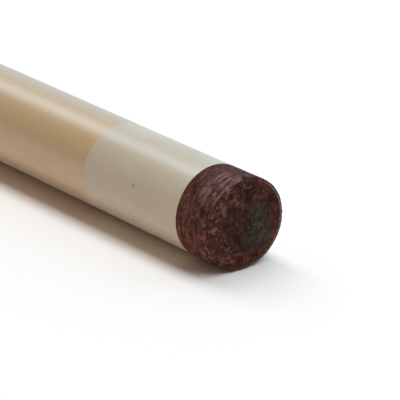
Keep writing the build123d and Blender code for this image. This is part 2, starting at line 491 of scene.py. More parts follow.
shaft_maple = varnished_wood(
    "shaft maple", (0.56, 0.355, 0.175), (0.47, 0.278, 0.125), (0.28, 0.16, 0.075),
    lines=0.32, pores=0.10, roughness=0.34, coat=0.85, gloss=0.36, specular=0.45, haze=0.8)
forearm_maple = varnished_wood(
    "curly maple", (0.72, 0.38, 0.13), (0.42, 0.17, 0.05), (0.25, 0.10, 0.04),
    lines=0.6, pores=0.3, roughness=0.22, curl=0.75)
ebony = varnished_wood(
    "ebony", (0.020, 0.014, 0.012), (0.009, 0.007, 0.006), (0.004, 0.003, 0.003),
    lines=0.7, pores=0.4, roughness=0.2)
pale_veneer = varnished_wood(
    "holly veneer", (0.80, 0.66, 0.44), (0.66, 0.50, 0.30), (0.45, 0.30, 0.16),
    lines=0.5, pores=0.2, roughness=0.22)
rosewood = varnished_wood(
    "rosewood", (0.17, 0.055, 0.028), (0.030, 0.011, 0.008), (0.010, 0.005, 0.004),
    lines=0.95, pores=0.5, roughness=0.2)
bare_maple = varnished_wood(
    "bare maple", (0.74, 0.55, 0.34), (0.58, 0.40, 0.22), (0.40, 0.25, 0.13),
    lines=0.6, pores=0.3, roughness=0.6, coat=0.0)
woods = (shaft_maple, forearm_maple, ebony, pale_veneer, rosewood, bare_maple)
print("made the woods:", ", ".join(wood.name for wood in woods))

# %% [markdown]
# ### Resin, metal and rubber
# The ferrule is a cast cream resin: smooth, a little translucent and faintly yellowed. The
# shaft's collar and the butt cap are black resin. Metal parts are turned, so their marks are
# rings. A picture of scratches could be laid on instead, but rings follow the lathe by rule.

# %% Ferrule resin
nick_place = (tip_start - 9.5 * MM, -6.1 * MM, 2.2 * MM)


def make_ferrule_resin():
    """Cream resin with a soft gloss, slow yellowing, fine sanding lines, dust and one nick."""
    finish, shader, where = new_finish(
        "ferrule resin", Coat_Weight=0.2, Coat_Roughness=0.3, Specular_IOR_Level=0.38,
        Sheen_Weight=0.3, Subsurface_Weight=0.08, Subsurface_Scale=1.0,
        Subsurface_Radius=(0.0012, 0.0008, 0.0005), **BLOOM)
    cloud = noise_node(scaled(where, (110, 150, 150)), 1.0, 4, 0.55, 0.3)
    colour = mixed(between(cloud, 0.35, 0.7), (0.59, 0.48, 0.35), (0.54, 0.43, 0.30))
    lines = placed(turning_lines, where, Scale=5200.0)
    colour = stained(colour, lines, 0.10, (0.40, 0.30, 0.20))
    dirt = placed(specks, where, Scale=520.0, Density=0.035)
    colour = stained(colour, dirt, 0.2, (0.11, 0.08, 0.055))
    reach = times_plus(noise_node(where, 1400.0, 3, 0.6), 1.3 * MM, distance_from(where, nick_place))
    nick = between(reach, 1.05 * MM, 0.75 * MM)
    fill(shader, Base_Color=stained(colour, nick, 0.4, (0.13, 0.10, 0.075)))
    smudge_gloss(shader, where, 0.32, 0.40)
    raise_surface(shader, lines, 0.000006, 0.6)
    return finish


ferrule_resin = make_ferrule_resin()
print("made", ferrule_resin.name)

# %% Black resin, metals and rubber
def make_black_resin():
    """Polished black resin with hairline turning marks."""
    finish, shader, where = new_finish("black resin", Coat_Weight=0.5, Coat_Roughness=0.1)
    lines = placed(turning_lines, where, Scale=4200.0)
    fill(shader, Base_Color=mixed(lines, (0.010, 0.010, 0.011), (0.020, 0.019, 0.019)))
    smudge_gloss(shader, where, 0.12, 0.24)
    return finish


def turned_metal(name, bright, dull, rough_low, rough_high, scale):
    """Metal with the fine rings of a lathe tool in its colour, gloss and surface."""
    finish, shader, where = new_finish(name, Metallic=1.0)
    lines = placed(turning_lines, where, Scale=scale)
    fill(shader, Base_Color=mixed(lines, bright, dull))
    mask = times_plus(lines, 0.5, placed(smudges, where, Amount=0.5))
    vary_roughness(shader, mask, rough_low, rough_high)
    raise_surface(shader, lines, 0.000005, 0.5)
    return finish


def make_bumper_rubber():
    """Black rubber, greyed by dust in its pores."""
    finish, shader, where = new_finish("bumper rubber", Specular_IOR_Level=0.3)
    dust = noise_node(where, 240.0, 5, 0.6)
    dusty = between(dust, 0.45, 0.8)
    fill(shader, Base_Color=mixed(dusty, (0.018, 0.018, 0.018), (0.045, 0.043, 0.040)))
    vary_roughness(shader, dust, 0.55, 0.8)
    raise_surface(shader, noise_node(where, 3200.0, 3, 0.5), 0.00002, 0.4)
    return finish


black_resin = make_black_resin()
nickel_silver = turned_metal("nickel silver", (0.83, 0.81, 0.76), (0.66, 0.64, 0.60), 0.10, 0.28, 6000.0)
stainless = turned_metal("stainless steel", (0.74, 0.74, 0.74), (0.56, 0.56, 0.57), 0.18, 0.38, 5200.0)
screw_steel = turned_metal("screw steel", (0.60, 0.60, 0.61), (0.42, 0.42, 0.43), 0.22, 0.42, 3000.0)
yellow_brass = turned_metal("yellow brass", (0.83, 0.62, 0.28), (0.62, 0.44, 0.18), 0.2, 0.4, 3000.0)
bumper_rubber = make_bumper_rubber()
print("made the resin, metals and rubber")

# %% [markdown]
# ## The leather tip
# The tip is a stack of pressed leather, glued to the ferrule and shaped by hand. Play has
# worn this one: its face is nearly flat with a fairly sharp rim, the wall leans a little,
# one side is worn inwards, and chalk has glazed a grey patch. A subdivided cylinder would
# keep none of that, so the surface is a polar grid whose radius and height come from
# formulas, with the relief of fibres, pits and lathe grooves added point by point.

# %% The worn outline of the tip
TIP_AROUND = 420
WALL_ROWS = 74
FACE_ROWS = 82
RIM_CROWDING = 1.6             # above 1, the face's rows lie closer towards the rim
wall_height = 6.057 * MM       # from the ferrule to the rim, on average
wall_lean = 0.07               # share by which one side of the wall stands higher
lean_toward = 0.288            # angle of that side, from +Y towards +Z
crown_height = 6.764 * MM      # from the ferrule to the middle of the face
crown_power = 0.976            # how the face falls from its middle,
crown_root = 0.19              # and how late and sharply it turns down at the rim
rim_radius = 6.547 * MM
rim_wear = 0.053               # share of the radius worn off one side
wear_toward = -0.341
glue_line = 0.04               # share of the wall that is plain and dark at the glue
glue_sink = 0.05 * MM          # how far the wall draws in there
rim_scuff = 0.40 * MM          # most that the other side's rim is rounded over


def smooth(low, high, value):
    """0 below low, 1 above high, and an even slope between."""
    t = min(max((value - low) / (high - low), 0.0), 1.0)
    return t * t * (3 - 2 * t)


def rim_height(angle):
    """Height of the rim above the ferrule, at an angle round the tip."""
    return wall_height * (1 + wall_lean * math.cos(angle - lean_toward))


def face_height(angle, share):
    """Height of the face at a share of the way from its middle to its rim."""
    fall = (1 - share ** crown_power) ** crown_root if share < 1 else 0.0
    low = rim_height(angle)
    return low + (crown_height - low) * fall


def shoulder(angle, rise):
    """How far the scuffed side of the rim is rounded inwards, as rise goes from 0 to 1."""
    return rim_scuff * smooth(-0.1, 0.8, -math.cos(angle + 0.35)) * rise ** 2


def face_radius(angle, share):
    """Radius at that share, with the worn side pulled in towards the rim."""
    worn = max(math.cos(angle - wear_toward), 0.0) ** 3
    steep = min((1 - share) * 6, 1.0) if share > 0 else 1.0
    whole = rim_radius - shoulder(angle, 1.0)
    return whole * share * (1 - rim_wear * worn * steep)


print("rim from", round(rim_height(lean_toward + math.pi) / MM, 2), "to",
      round(rim_height(lean_toward) / MM, 2), "mm high")

# %% [markdown]
# ### Relief and marks
# `fbm` adds octaves of smooth noise. The marks on the face are soft round blots: each is a
# place on the face (Y, Z in millimetres), a size and a kind. They are worked out here and
# kept on the mesh as attributes, so the colour and the relief of one mark always agree.

# %% Noise and blots
def fbm(place, scale, octaves=4, apart=0):
    """Noise of several octaves at a place; scale is lumps per mm, apart a shift of it in mm."""
    x, y, z = place
    return noise.fractal(Vector((x, y, z + apart * MM)) * (scale / MM), 1.0, 2.0, octaves)


def blot(place, centre, size, ragged=0.35, core=0.55):
    """1 in the middle of a soft ragged mark, and 0 outside it."""
    away = math.hypot(place[1] / MM - centre[0], place[2] / MM - centre[1]) / size
    return 1 - smooth(core, 1.1, away + ragged * fbm(place, 1.1))


chalk_blots = [((2.4, 1.0), 2.3), ((3.1, -1.5), 2.3), ((1.2, -1.4), 1.9), ((1.7, -3.0), 1.3),
               ((3.9, -2.9), 1.3), ((0.2, -1.9), 1.4)]
rust_blots = [((-1.4, 3.2), 0.5), ((1.7, 3.6), 0.75), ((3.7, 3.3), 0.8), ((-3.2, -3.7), 1.3),
              ((0.2, -4.6), 1.4), ((-1.8, -2.5), 0.7), ((5.0, 1.7), 0.7), ((1.9, -0.3), 0.5)]
pale_blots = [((-5.1, 0.7), 0.46), ((-5.3, 0.1), 0.3), ((-4.1, 4.0), 0.3), ((-3.1, 4.5), 0.26),
              ((0.9, 5.2), 0.26), ((-5.4, 2.3), 0.34), ((-5.0, 2.9), 0.26), ((-2.2, -4.8), 0.3),
              ((-4.6, 3.5), 0.24), ((3.1, 4.1), 0.2), ((-1.1, 3.4), 0.2)]
pit_blots = [((-4.7, 3.1), 0.36), ((0.2, 4.4), 0.8), ((-0.7, 4.1), 0.4), ((-5.2, 1.6), 0.22),
             ((-3.6, -1.9), 0.3), ((1.3, 4.9), 0.3), ((-3.9, 0.3), 0.2)]


def marked(place, blots, ragged=0.35, core=0.55):
    """The strongest of a list of blots at a place."""
    return max(blot(place, centre, size, ragged, core) for centre, size in blots)


print("marks on the face:", len(chalk_blots + rust_blots + pale_blots + pit_blots))

# %% Relief of the wall and the face
def wall_marks(place, angle, up):
    """Attributes of the turned wall; up is 0 at the ferrule and 1 at the rim."""
    x, y, z = place
    streak = fbm((x * 5.0, y * 0.3, z * 0.3), 1.0, 5)
    hair = fbm((x * 9.0, y * 0.6, (z + 5 * MM) * 0.6), 1.4, 3)
    mottle = fbm((x * 1.5, y, z), 0.9, 6, -2)
    top = smooth(0.1, 0.95, math.sin(angle - 0.5))
    # crest is the top of the wall, where the overhead light is reflected; the sheen below paints that
    # highlight into the colour as pale streaks
    crest = math.exp(-((angle - 2.0) / 0.5) ** 2)
    deep = math.exp(-((angle - 1.2) / 0.35) ** 2)
    low_side = smooth(2.3, 2.9, angle) * (1 - smooth(5.2, 6.0, angle))
    near_rim = smooth(0.72, 0.95, up)
    arcs = smooth(0.08, 0.4, hair) * (0.3 + 0.35 * low_side) * (1 - 0.8 * deep)
    painted_sheen = smooth(-0.2, 0.3, streak) * crest * smooth(0.2, 0.7, up)
    fibres = smooth(-0.3, 0.35, mottle + 0.4 * hair)
    pits = smooth(0.3, 0.55, fbm(place, 1.5, 3, 3)) * (0.15 + 0.6 * near_rim)
    return {
        "tone": 0.46 + 0.2 * streak + 0.2 * mottle + 0.16 * fbm(place, 0.32, 3, 9) - 0.12 * deep,
        "rust": fibres * (0.3 + 0.7 * low_side) * (1 - 0.6 * top),
        "chalk": 0.0,
        "pale": smooth(0.15, 0.6, fbm(place, 1.2, 6, -5)) * (0.15 + 0.65 * near_rim),
        "pit": max(pits, 1 - smooth(0.0, 0.035, up)),
        "scratch_and_painted_sheen": max(arcs, painted_sheen),
    }


def face_marks(place, angle, share):
    """Attributes of the worn face; share is 0 in the middle and 1 at the rim."""
    left = smooth(0.0, 0.8, -math.cos(angle + 0.2))
    right = smooth(-0.2, 0.6, math.cos(angle + 0.35))
    crushed = left * smooth(0.45, 0.95, share)
    edge = smooth(0.80, 0.88, share) * right
    # The thin pale line on the right of the rim is a painted highlight, where light catches the worn
    # lip; the groove just inside it is real relief, also painted dark as shade
    painted_rim_highlight = (1 - smooth(0.012, 0.034, abs(share - 0.955))) * right
    groove = (1 - smooth(0.0, 0.022, abs(share - 0.925))) * right
    cloud = (0.85 + 0.4 * fbm(place, 1.0, 4)) * (1 - smooth(0.80, 0.90, share))
    chalk = marked(place, chalk_blots, 0.4, 0.3) * cloud
    fibres = max(marked(place, rust_blots, 0.6, 0.2), smooth(0.25, 0.7, fbm(place, 1.1, 4)) * 0.2)
    fibres *= 0.35 + 0.65 * smooth(-0.2, 0.4, fbm(place, 2.0, 3))
    flecks = smooth(0.15, 0.6, fbm(place, 1.2, 6, -5)) * (0.15 + 0.75 * crushed)
    pale = max(0.85 * marked(place, pale_blots, 0.7, 0.1), flecks, painted_rim_highlight)
    gritty = min(0.12 + 0.4 * chalk + 0.75 * edge, 1.0)
    grit = smooth(0.15, 0.4, fbm(place, 2.2, 2, 4)) * gritty
    dark = max(0.9 * marked(place, pit_blots), grit, groove * 0.8)
    tone = 0.25 + 0.30 * fbm(place, 0.8, 6) + 0.16 * crushed + 0.1 * smooth(0.5, 1.0, share)
    return {
        "tone": tone,
        "rust": max(fibres * (1 - 0.4 * right), edge * 0.4),
        "chalk": chalk,
        "pale": pale,
        "pit": dark * (1 - pale),
        "scratch_and_painted_sheen": 0.0,
    }


def tip_relief(place, marks, on_face):
    """How far the surface stands out from the plain outline, in metres."""
    rough = 0.022 * fbm(place, 1.3, 5) + 0.010 * fbm(place, 5.0, 3)
    if on_face:
        rough += 0.045 * fbm(place, 0.45, 3)
    lift = 0.012 * marks["pale"] - 0.085 * marks["pit"] + 0.012 * marks["scratch_and_painted_sheen"]
    quiet = 1 - 0.5 * marks["chalk"]
    return (rough * quiet + lift) * MM


print("relief and marks are worked out spot by spot")

# %% Build the tip
# The scratch layer also holds a painted highlight on the top of the wall, the pale layer a painted
# highlight along the rim, and the pit layer painted shade in the rim's groove
LAYERS = ("tone", "rust", "chalk", "pale", "pit", "scratch_and_painted_sheen")


def wall_spot(angle, up):
    """A place on the wall, the way outwards there, its marks and how free it is of glue."""
    x = tip_start + rim_height(angle) * up
    radius = tip_radius + (rim_radius - tip_radius) * up - shoulder(angle, smooth(0.76, 1.0, up))
    place = polar(x, radius, angle)
    return place, polar(0, 1, angle), wall_marks(place, angle, up), smooth(0.0, glue_line, up)


def face_spot(angle, share):
    """The same for a place on the face, where the way outwards turns over at the rim."""
    place = polar(tip_start + face_height(angle, share), face_radius(angle, share), angle)
    turn = smooth(1.0, 0.9, share)
    return place, polar(turn, 1 - turn, angle), face_marks(place, angle, share), 1.0


def build_tip():
    """The tip's closed mesh: glued base, wall, worn rim and face."""
    ups = [0.0, glue_line / 2] + [i / WALL_ROWS for i in range(1, WALL_ROWS + 1)]
    rings = [(wall_spot, up) for up in sorted(set(ups))]
    rings += [(face_spot, 1 - (i / FACE_ROWS) ** RIM_CROWDING) for i in range(1, FACE_ROWS)]
    verts, layers = [], {name: [] for name in LAYERS}
    for spot, share in rings:
        for i in range(TIP_AROUND):
            place, out, marks, free = spot(math.tau * i / TIP_AROUND, share)
            lift = tip_relief(place, marks, spot is face_spot) * free - glue_sink * (1 - free)
            verts.append(Vector(place) + Vector(out) * lift)
            for name in LAYERS:
                layers[name].append(marks[name])
    rows = [range(j * TIP_AROUND, (j + 1) * TIP_AROUND) for j in range(len(rings))]
    crown, base = len(verts), len(verts) + 1
    verts += [(tip_start + crown_height, 0, 0), (tip_start, 0, 0)]
    faces = bands([[base] * TIP_AROUND, *rows, [crown] * TIP_AROUND])
    piece = mesh_object("leather_tip_worn", verts, faces)
    for name in LAYERS:
        layer = piece.data.attributes.new(name, "FLOAT", "POINT")
        layer.data.foreach_set("value", layers[name] + [layers[name][-1], 0.0])
    return piece


leather_tip = settle(build_tip(), "shaft", "tip_leather", "leather_tip")
print("layers kept on the mesh:", ", ".join(LAYERS))

# %% [markdown]
# ### Leather
# The colour is laid on in the order that it came about: dyed leather first, then the rust
# of open fibres, the pale lathe scratches of the wall with a painted highlight on its top,
# the grey chalk glaze, pale flecks with a painted highlight along the rim, and at last the
# dark of the pits, with painted shade in the groove by the rim. Finer grain than the mesh
# can hold comes from noise.

# %% Leather finish
def make_tip_leather():
    """Dark red-brown leather, read from the layers on the tip's mesh."""
    finish, shader, where = new_finish("tip leather", Specular_IOR_Level=0.06)

    def layer(name):
        step = finish.node_tree.nodes.new("ShaderNodeAttribute")
        step.attribute_name = name
        return step.outputs["Fac"]

    fine = noise_node(where, 2600.0, 5, 0.75)
    coarse = noise_node(where, 800.0, 4, 0.6)
    tone = times_plus(fine, 1.3, minus(layer("tone"), 0.65))
    colour = mixed(between(tone, 0.2, 0.8), (0.022, 0.0066, 0.0052), (0.132, 0.034, 0.023))
    rust = times(layer("rust"), between(fine, 0.36, 0.66))
    colour = mixed(rust, colour, (0.215, 0.060, 0.019))
    # Real lathe scratches, plus a painted highlight: the reflection of the overhead light on the top of
    # the wall
    scratch_and_painted_sheen = times(layer("scratch_and_painted_sheen"), between(coarse, 0.3, 0.6))
    colour = stained(colour, scratch_and_painted_sheen, 0.8, (0.37, 0.22, 0.19))
    glaze = times(layer("chalk"), between(coarse, 0.2, 0.55))
    grey = mixed(between(fine, 0.3, 0.7), (0.013, 0.010, 0.007), (0.070, 0.053, 0.039))
    colour = stained(colour, glaze, 0.85, grey)
    # The pale layer holds real pale flecks and the painted highlight along the right of the rim
    fleck = times(layer("pale"), between(fine, 0.30, 0.55))
    colour = stained(colour, fleck, 0.6, (0.25, 0.175, 0.145))
    # The pit layer holds real pits and grit, and painted shade in the groove by the rim
    colour = stained(colour, layer("pit"), 0.85, (0.008, 0.005, 0.004))
    pores = placed(specks, where, Scale=3300.0, Density=0.45)
    colour = stained(colour, pores, 0.6, (0.009, 0.006, 0.005))
    lint = placed(specks, scaled(where, (1.3, 1.1, 0.9)), Scale=3300.0, Density=0.2)
    fill(shader, Base_Color=stained(colour, lint, 0.32, (0.30, 0.22, 0.18)))
    vary_roughness(shader, minus(1.0, glaze), 0.34, 0.62)
    raise_surface(shader, fine, 0.00010)
    return finish


tip_leather = make_tip_leather()
leather_tip.data.materials.append(tip_leather)
print("made", tip_leather.name)

# %% [markdown]
# ## The turned pieces
# Nearly everything from the ferrule back is turned, so each piece below is one line: its CAD
# node, its body, its slot and its finish. The last size is the chamfer that a maker leaves.

# %% Turn them
FINE_EDGE = 0.06 * MM
RING_EDGE = 0.12 * MM
SOFT_EDGE = 0.25 * MM
BLUNT_EDGE = 0.3 * MM


def turn_piece(node, body, slot, finish, edge=FINE_EDGE, around=ROUND):
    """Turns a CAD node's own outline again, finely, and finishes it."""
    piece = turned(node + "_turned", [eased(chain, edge) for chain in section(node)], around)
    piece.data.materials.append(finish)
    return settle(piece, body, slot, node)


turn_piece("ferrule", "shaft", "ferrule_resin", ferrule_resin, around=240)
turn_piece("shaft", "shaft", "shaft_maple", shaft_maple, around=240)
turn_piece("shaft_ring", "shaft", "ring_metal", nickel_silver, RING_EDGE)
turn_piece("shaft_collar", "shaft", "collar_black", black_resin, SOFT_EDGE)
turn_piece("joint_ring", "joint_ring", "ring_metal", nickel_silver, RING_EDGE)
turn_piece("butt_collar", "butt", "collar_steel", stainless, SOFT_EDGE)
turn_piece("forearm_ring", "butt", "ring_metal", nickel_silver, RING_EDGE)
turn_piece("sleeve_ring", "butt", "ring_metal", nickel_silver, RING_EDGE)
turn_piece("butt_sleeve", "butt", "sleeve_rosewood", rosewood)
turn_piece("cap_ring", "butt", "ring_metal", nickel_silver, RING_EDGE)
turn_piece("butt_cap", "butt", "collar_black", black_resin, SOFT_EDGE)
turn_piece("bumper", "butt", "bumper_rubber", bumper_rubber)
turn_piece("handle_core", "butt", "core_maple", bare_maple)
turn_piece("handle_stud", "butt", "pin_steel", screw_steel, BLUNT_EDGE)

# %% [markdown]
# ## The forearm and its points
# Four sharp ebony points, each in a pale veneer, rise from the wrap towards the joint. On a
# real cue a V groove is milled along the forearm, climbing until it runs out of the wood,
# and the point is glued into it. One rule gives the whole shape: where the two sides of a
# V of 90 degrees, with its root at a given radius, meet the round surface. The forearm, a
# veneer and a point are lofted from cross-sections that follow this rule.

# %% The rule of the points
POINTS = 4
point_rear, point_tip = span("point_veneers")[:2]
forearm_rear = span("forearm")[0]
forearm_shoulder = span("joint_ring")[0] - 0.05 * MM
veneer_step = 0.9 * MM * math.sqrt(2)      # how much higher the point's V lies than the groove's
root_at_rear = 4.0 * MM - veneer_step      # the groove's root, where the point's own is 4 mm
socket_clear = 8.5 * MM                    # no groove goes deeper than the handle's socket
point_clear = socket_clear + 0.4 * MM      # and no point goes deeper than the veneer under it
SLIVER = 0.001 * MM                        # a step too small to see, which keeps surfaces apart


def root_radius(x, step=0.0):
    """Radius of a V's root at x; it climbs until it leaves the wood."""
    rise = (x - point_rear) / (point_tip - point_rear)
    root = root_at_rear + (cue_radius(point_tip) - root_at_rear) * rise + step
    return min(root, cue_radius(x) - 4 * SLIVER)


def lip_angle(root, radius):
    """Half angle at which the V's sides reach a radius."""
    if root >= radius:
        return 0.0
    side = -root * math.sqrt(0.5) + math.sqrt(radius ** 2 - root ** 2 / 2)
    return math.atan2(side * math.sqrt(0.5), root + side * math.sqrt(0.5))


def trough(x, root, clear=socket_clear, slivers=3):
    """Radius of the V's flat floor: its root, but no deeper than what must stay clear."""
    return min(max(root, clear), cue_radius(x) - slivers * SLIVER)


STEPS_ALONG = 60
stations = [forearm_rear + (point_tip - forearm_rear) * i / STEPS_ALONG
            for i in range(STEPS_ALONG + 1)]
print("the points are", round((point_tip - point_rear) / MM, 1), "mm long")

# %% Points and veneers
def lofted(name, rings):
    """A closed mesh through rings of points, all with the same count, capped at both ends."""
    count = len(rings[0])
    rows = [range(j * count, (j + 1) * count) for j in range(len(rings))]
    faces = [rows[0], rows[-1]] + bands(rows)
    return mesh_object(name, [point for ring in rings for point in ring], faces)


def arc(x, radius, first, last, steps):
    """Points round an arc at x."""
    return [polar(x, radius, first + (last - first) * i / steps) for i in range(steps + 1)]


def point_ring(x):
    """Cross-section of an ebony point: its V below and the cue's surface above."""
    root, top = root_radius(x, veneer_step), cue_radius(x)
    floor = trough(x, root, point_clear)
    half, low = lip_angle(root, top), lip_angle(root, floor)
    return arc(x, top, -half, half, 12) + [polar(x, floor, low), polar(x, floor, -low)]


def veneer_ring(x):
    """Cross-section of a veneer: the V of the groove, less the V of the point."""
    root, inner, top = root_radius(x), root_radius(x, veneer_step), cue_radius(x)
    deep, shallow = trough(x, root), trough(x, inner, point_clear, 2)
    half, low = lip_angle(root, top), lip_angle(root, deep)
    inner_half, inner_low = lip_angle(inner, top), lip_angle(inner, shallow)
    outside = arc(x, top, inner_half, half, 3) + [polar(x, deep, low), polar(x, deep, -low)]
    inside = arc(x, top, -half, -inner_half, 3)
    return outside + inside + [polar(x, shallow, -inner_low), polar(x, shallow, inner_low)]


ebony_end = next(x for x in stations if root_radius(x, veneer_step) >= cue_radius(x) - 10 * SLIVER)
one_point = lofted("one_point", [point_ring(x) for x in stations if x <= ebony_end])
one_veneer = lofted("one_veneer", [veneer_ring(x) for x in stations])
print("ebony shows for", round((ebony_end - point_rear) / MM, 1), "mm")

# %% [markdown]
# ### Set round the cue
# The four points are the same, a quarter turn apart, so Geometry Nodes set them out. The
# tree takes the piece, how many there are and the angle of the first, and it ends in real
# mesh with its material, because instances would be lost when the part is exported.

# %% Geometry Nodes helpers
def new_nodes(name, sizes, counts):
    """An empty geometry tree that takes a shape, named sizes and counts, and a finish."""
    tree = bpy.data.node_groups.new(name, "GeometryNodeTree")
    tree.interface.new_socket("Geometry", in_out="OUTPUT", socket_type="NodeSocketGeometry")
    kinds = {"Geometry": "Geometry", **dict.fromkeys(sizes, "Float"),
             **dict.fromkeys(counts, "Int"), "Finish": "Material"}
    for label, kind in kinds.items():
        tree.interface.new_socket(label, in_out="INPUT", socket_type="NodeSocket" + kind)
    return tree, tree.nodes.new("NodeGroupInput").outputs


def ended(tree, given, shape):
    """Ends a tree with real mesh in its material, which is what the export keeps."""
    real = linked(tree, "GeometryNodeRealizeInstances", Geometry=shape.outputs[0])
    dressed = linked(tree, "GeometryNodeSetMaterial", Geometry=real.outputs[0],
                     Material=given["Finish"])
    fill(tree.nodes.new("NodeGroupOutput"), Geometry=dressed.outputs[0])
    return tree


def made_real(piece, tree, name, **values):
    """Runs a geometry tree on a piece and gives the result as a plain mesh object."""
    run = piece.modifiers.new("build", "NODES")
    run.node_group = tree
    keys = {i.name: i.identifier for i in tree.interface.items_tree if i.in_out == "INPUT"}
    for label, value in values.items():
        run[keys[label.replace("_", " ").capitalize()]] = value
    bpy.context.view_layer.update()
    built = piece.evaluated_get(bpy.context.evaluated_depsgraph_get())
    mesh = bpy.data.meshes.new_from_object(built)
    piece.modifiers.remove(run)
    start_mesh = piece.data
    bpy.data.objects.remove(piece)
    bpy.data.meshes.remove(start_mesh)
    mesh.name = name
    return shown(name, mesh)


print("each tree runs once and leaves a plain mesh")

# %% Copies round the axis
def make_round_copies():
    """Sets copies of a piece evenly round the X axis."""
    tree, given = new_nodes("set round the axis", ["First angle"], ["Count"])
    spots = linked(tree, "GeometryNodeMeshLine", Count=given["Count"], Offset=(0, 0, 0))
    number = tree.nodes.new("GeometryNodeInputIndex").outputs[0]
    angle = times_plus(number, over(math.tau, given["Count"]), given["First angle"])
    turn = linked(tree, "ShaderNodeCombineXYZ", X=angle)
    return ended(tree, given, linked(
        tree, "GeometryNodeInstanceOnPoints", Points=spots.outputs[0],
        Instance=given["Geometry"], Rotation=turn.outputs[0]))


round_copies = make_round_copies()
first_point = math.pi / 4
for one, name, finish, slot, node in (
    (one_point, "forearm_points_inlaid", ebony, "point_ebony", "forearm_points"),
    (one_veneer, "point_veneers_inlaid", pale_veneer, "point_veneer", "point_veneers"),
):
    piece = made_real(one, round_copies, name, count=POINTS, first_angle=first_point, finish=finish)
    settle(piece, "butt", slot, node)

# %% The grooved forearm
def forearm_ring(x, radius, grooved=False):
    """Cross-section of the forearm: round, or with a V let in under each point."""
    root = root_radius(x)
    floor = trough(x, root)
    half, low = lip_angle(root, cue_radius(x)), lip_angle(root, floor)
    depth = floor if grooved else radius
    ring = []
    for i in range(POINTS):
        middle = first_point + i * math.tau / POINTS
        ring += [polar(x, radius, middle - half), polar(x, depth, middle - low),
                 polar(x, depth, middle + low), polar(x, radius, middle + half)]
        far = middle + math.tau / POINTS - half
        ring += arc(x, radius, middle + half, far, 14)[1:-1]
    return ring


def grooved_forearm():
    """The forearm's own turned outline, with the four grooves let into its surface."""
    outline = max(section("forearm"), key=len)
    surface = [i for i, (x, radius) in enumerate(outline)
               if abs(radius - cue_radius(x)) < 20 * SLIVER]
    socket, tenon = outline[1:surface[0]], outline[surface[-1] + 1:-1]
    rings = [forearm_ring(x, radius) for x, radius in socket]
    rings += [forearm_ring(x, cue_radius(x), grooved=True) for x in stations]
    rings += [forearm_ring(x, cue_radius(x)) for x in (point_tip + 10 * SLIVER, forearm_shoulder)]
    rings += [forearm_ring(x, radius) for x, radius in tenon]
    print("forearm: socket", len(socket), "rings, tenon", len(tenon), "rings")
    return lofted("forearm_grooved", rings)


forearm = grooved_forearm()
forearm.data.materials.append(forearm_maple)
settle(forearm, "butt", "forearm_maple", "forearm")

# %% [markdown]
# ## Windings
# The linen wrap and the screw are the same rule twice: a ridge that climbs round a tapered
# core. One geometry tree rolls a grid into a tube and lifts it along that helix. Its inputs
# are the two ends, their radii, the bore, the pitch, the rise, and how round and how flat
# the ridge is. It could be a swept spline, but hundreds of turns would cost far more faces.

# %% The winding tree
def make_winding():
    """Rolls a grid round X as a closed tube with a helical ridge on its outside."""
    tree, given = new_nodes(
        "helical winding",
        ["Start", "Length", "Start radius", "End radius", "Start bore", "End bore", "Pitch",
         "Rise", "Power", "Foot", "Gain", "Phase", "Fade"],
        ["Rows", "Around"])
    columns = plus(given["Around"], 1)
    grid = linked(tree, "GeometryNodeMeshGrid", Size_X=1.0, Size_Y=1.0,
                  Vertices_X=given["Rows"], Vertices_Y=columns)
    number = tree.nodes.new("GeometryNodeInputIndex").outputs[0]
    row = math_node("FLOOR", over(number, columns))
    column = math_node("MODULO", number, columns)

    # The first row and the last two lie in the bore, so that the tube closes on itself.
    last = minus(given["Rows"], 3)
    outside = times(math_node("GREATER_THAN", row, 0.5), less(row, plus(last, 0.5)))
    along = over(minus(row, 1), minus(last, 1))
    along = plus(times(along, less(row, plus(last, 1.5))), 0.0, clamp=True)

    x = times_plus(along, given["Length"], given["Start"])
    angle = times(over(column, given["Around"]), math.tau)
    turns = minus(over(x, given["Pitch"]), over(angle, math.tau))
    phase = math_node("FRACT", minus(turns, given["Phase"]))
    off_crest = math_node("ABSOLUTE", times_plus(phase, 2, -1))
    ridge = minus(given["Foot"], power(off_crest, given["Power"]))
    ridge = times(ridge, given["Gain"], clamp=True)
    to_end = times(minus(1, along), given["Length"])
    ridge = times(ridge, over(to_end, given["Fade"], clamp=True))

    def tapered(first, second):
        return times_plus(along, minus(given[second], given[first]), given[first])

    lifted = times_plus(ridge, given["Rise"], tapered("Start radius", "End radius"))
    bore = tapered("Start bore", "End bore")
    radius = times_plus(outside, minus(lifted, bore), bore)
    place = linked(tree, "ShaderNodeCombineXYZ", X=x, Y=times(radius, math_node("COSINE", angle)),
                   Z=times(radius, math_node("SINE", angle)))
    rolled = linked(tree, "GeometryNodeSetPosition", Geometry=grid.outputs[0],
                    Position=place.outputs[0])
    return ended(tree, given, linked(tree, "GeometryNodeMergeByDistance",
                                     Geometry=rolled.outputs[0], Distance=SAME_SPOT))


winding = make_winding()


def wound(name, finish, **sizes):
    """A wound piece as a plain mesh with outward faces."""
    seed = shown(name + "_seed", bpy.data.meshes.new(name + "_seed"))
    piece = made_real(seed, winding, name, finish=finish, **sizes)
    tidied(piece.data, 50)
    return piece


print("made the tree", winding.name)

# %% Linen
wrap_start, wrap_end = span("linen_wrap")[:2]
wrap_corners = [corner for chain in section("linen_wrap") for corner in chain]
wrap_front_bore = min(radius for x, radius in wrap_corners if x > wrap_end - MM)
wrap_rear_bore = min(radius for x, radius in wrap_corners if x < wrap_start + MM)
wrap_front_radius, wrap_rear_radius = cue_radius(wrap_end), cue_radius(wrap_start)
wrap_length = wrap_end - wrap_start
wrap_slope = (wrap_front_radius - wrap_rear_radius) / wrap_length
thread_pitch = 0.762 * MM
thread_rise = 0.22 * MM
flecks_per_turn = 36.0
rows_per_thread = 4


